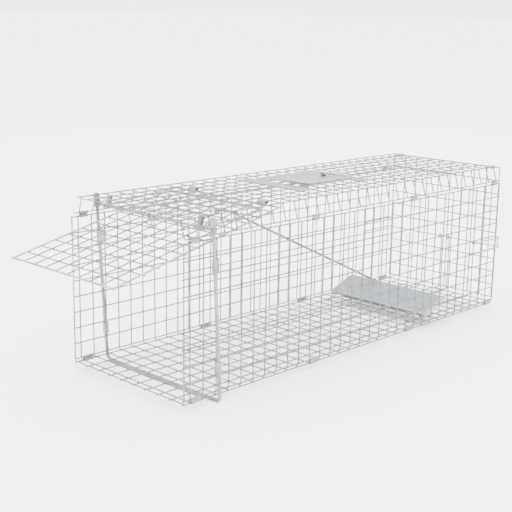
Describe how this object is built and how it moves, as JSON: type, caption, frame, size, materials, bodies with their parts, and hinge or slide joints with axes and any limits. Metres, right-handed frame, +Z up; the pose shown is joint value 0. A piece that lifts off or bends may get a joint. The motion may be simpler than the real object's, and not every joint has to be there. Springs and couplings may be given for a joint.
{
  "type": "live catch trap",
  "caption": "Long wire mesh box trap with a sloping roof-hinged drop door held open, front hoop, trigger plate and rod, carry handle and latched rear panel.",
  "frame": {"origin": "middle of the trap's footprint, with the door set open, on the surface it stands on", "axes": "+Z up; X runs along the trap with -X towards the open door and +X towards the rear panel; Y runs across, -Y is the near side"},
  "size_m": [0.9264, 0.2756, 0.2898],
  "materials": {
    "galvanised_mesh": "galvanised after welding, dull grey with a soft sheen",
    "hoop_wire": "zinc plated, slightly warm grey",
    "bright_wire": "bright zinc plated wire",
    "clip_steel": "rolled strip, darker galvanised grey",
    "plate_sheet": "galvanised sheet, blue-grey, matt",
    "handle_sheet": "galvanised sheet, light lilac-grey, satin"
  },
  "bodies": {
    "cage": {"floor_panel": "galvanised_mesh", "near_side_panel": "galvanised_mesh", "far_side_panel": "galvanised_mesh", "roof_panel": "galvanised_mesh", "near_roof_flange": "galvanised_mesh", "far_roof_flange": "galvanised_mesh", "front_hoop": "hoop_wire", "hoop_sleeves": "hoop_wire", "front_axle": "hoop_wire", "axle_hangers": "hoop_wire", "door_hinge_clips": "clip_steel", "plate_hinge_loops": "bright_wire", "handle_plate": "handle_sheet", "pivot_loops": "bright_wire", "near_floor_clips": "clip_steel", "far_floor_clips": "clip_steel", "near_top_clips": "clip_steel", "far_top_clips": "clip_steel", "rear_top_clips": "clip_steel"},
    "door": {"door_frame": "bright_wire", "door_mesh": "galvanised_mesh"},
    "bail": {"lock_bail": "bright_wire"},
    "catch": {"door_catch": "bright_wire"},
    "plate": {"trigger_plate": "plate_sheet"},
    "rod": {"trigger_rod": "bright_wire"},
    "handle": {"handle_bail": "bright_wire"},
    "rear": {"rear_panel": "galvanised_mesh"},
    "near_latch": {"near_latch": "bright_wire"},
    "far_latch": {"far_latch": "bright_wire"},
    "rear_latch": {"rear_latch": "bright_wire"}
  },
  "joints": [
    {"name": "door_swing", "type": "hinge", "parent": "cage", "child": "door", "pos_m": [-0.14716, 0, 0.27235], "axis": [0, -1, 0], "range_deg": [0, 39]},
    {"name": "bail_swing", "type": "hinge", "parent": "cage", "child": "bail", "pos_m": [-0.29646, 0, 0.26065], "axis": [0, 1, 0], "range_deg": [0, 10.6]},
    {"name": "catch_swing", "type": "hinge", "parent": "cage", "child": "catch", "pos_m": [-0.29646, 0, 0.26065], "axis": [0, 1, 0], "range_deg": [-30, 30]},
    {"name": "plate_tilt", "type": "hinge", "parent": "cage", "child": "plate", "pos_m": [0.25234, 0, 0.02275], "axis": [0, 1, 0], "range_deg": [0, 13]},
    {"name": "rod_swing", "type": "hinge", "parent": "plate", "child": "rod", "pos_m": [0.31436, 0.0508, 0.04532], "axis": [0, 1, 0], "range_deg": [-11.2, 0]},
    {"name": "handle_swing", "type": "hinge", "parent": "cage", "child": "handle", "pos_m": [0.04374, 0, 0.28615], "axis": [-1, 0, 0], "range_deg": [0, 180]},
    {"name": "rear_swing", "type": "hinge", "parent": "cage", "child": "rear", "pos_m": [0.45534, 0, 0.27665], "axis": [0, -1, 0], "range_deg": [0, 100]},
    {"name": "near_latch_swing", "type": "hinge", "parent": "cage", "child": "near_latch", "pos_m": [0.37494, -0.1295, 0.13255], "axis": [0, 0, -1], "range_deg": [0, 110]},
    {"name": "far_latch_swing", "type": "hinge", "parent": "cage", "child": "far_latch", "pos_m": [0.37494, 0.1295, 0.13255], "axis": [0, 0, 1], "range_deg": [0, 110]},
    {"name": "rear_latch_swing", "type": "hinge", "parent": "rear", "child": "rear_latch", "pos_m": [0.45534, -0.0092, 0.12425], "axis": [0, -1, 0], "range_deg": [0, 110]}
  ],
  "couplings": [
    {"joint": "bail_swing", "follows": "door_swing", "ratio": 0.27},
    {"joint": "rod_swing", "follows": "plate_tilt", "ratio": -0.86}
  ]
}
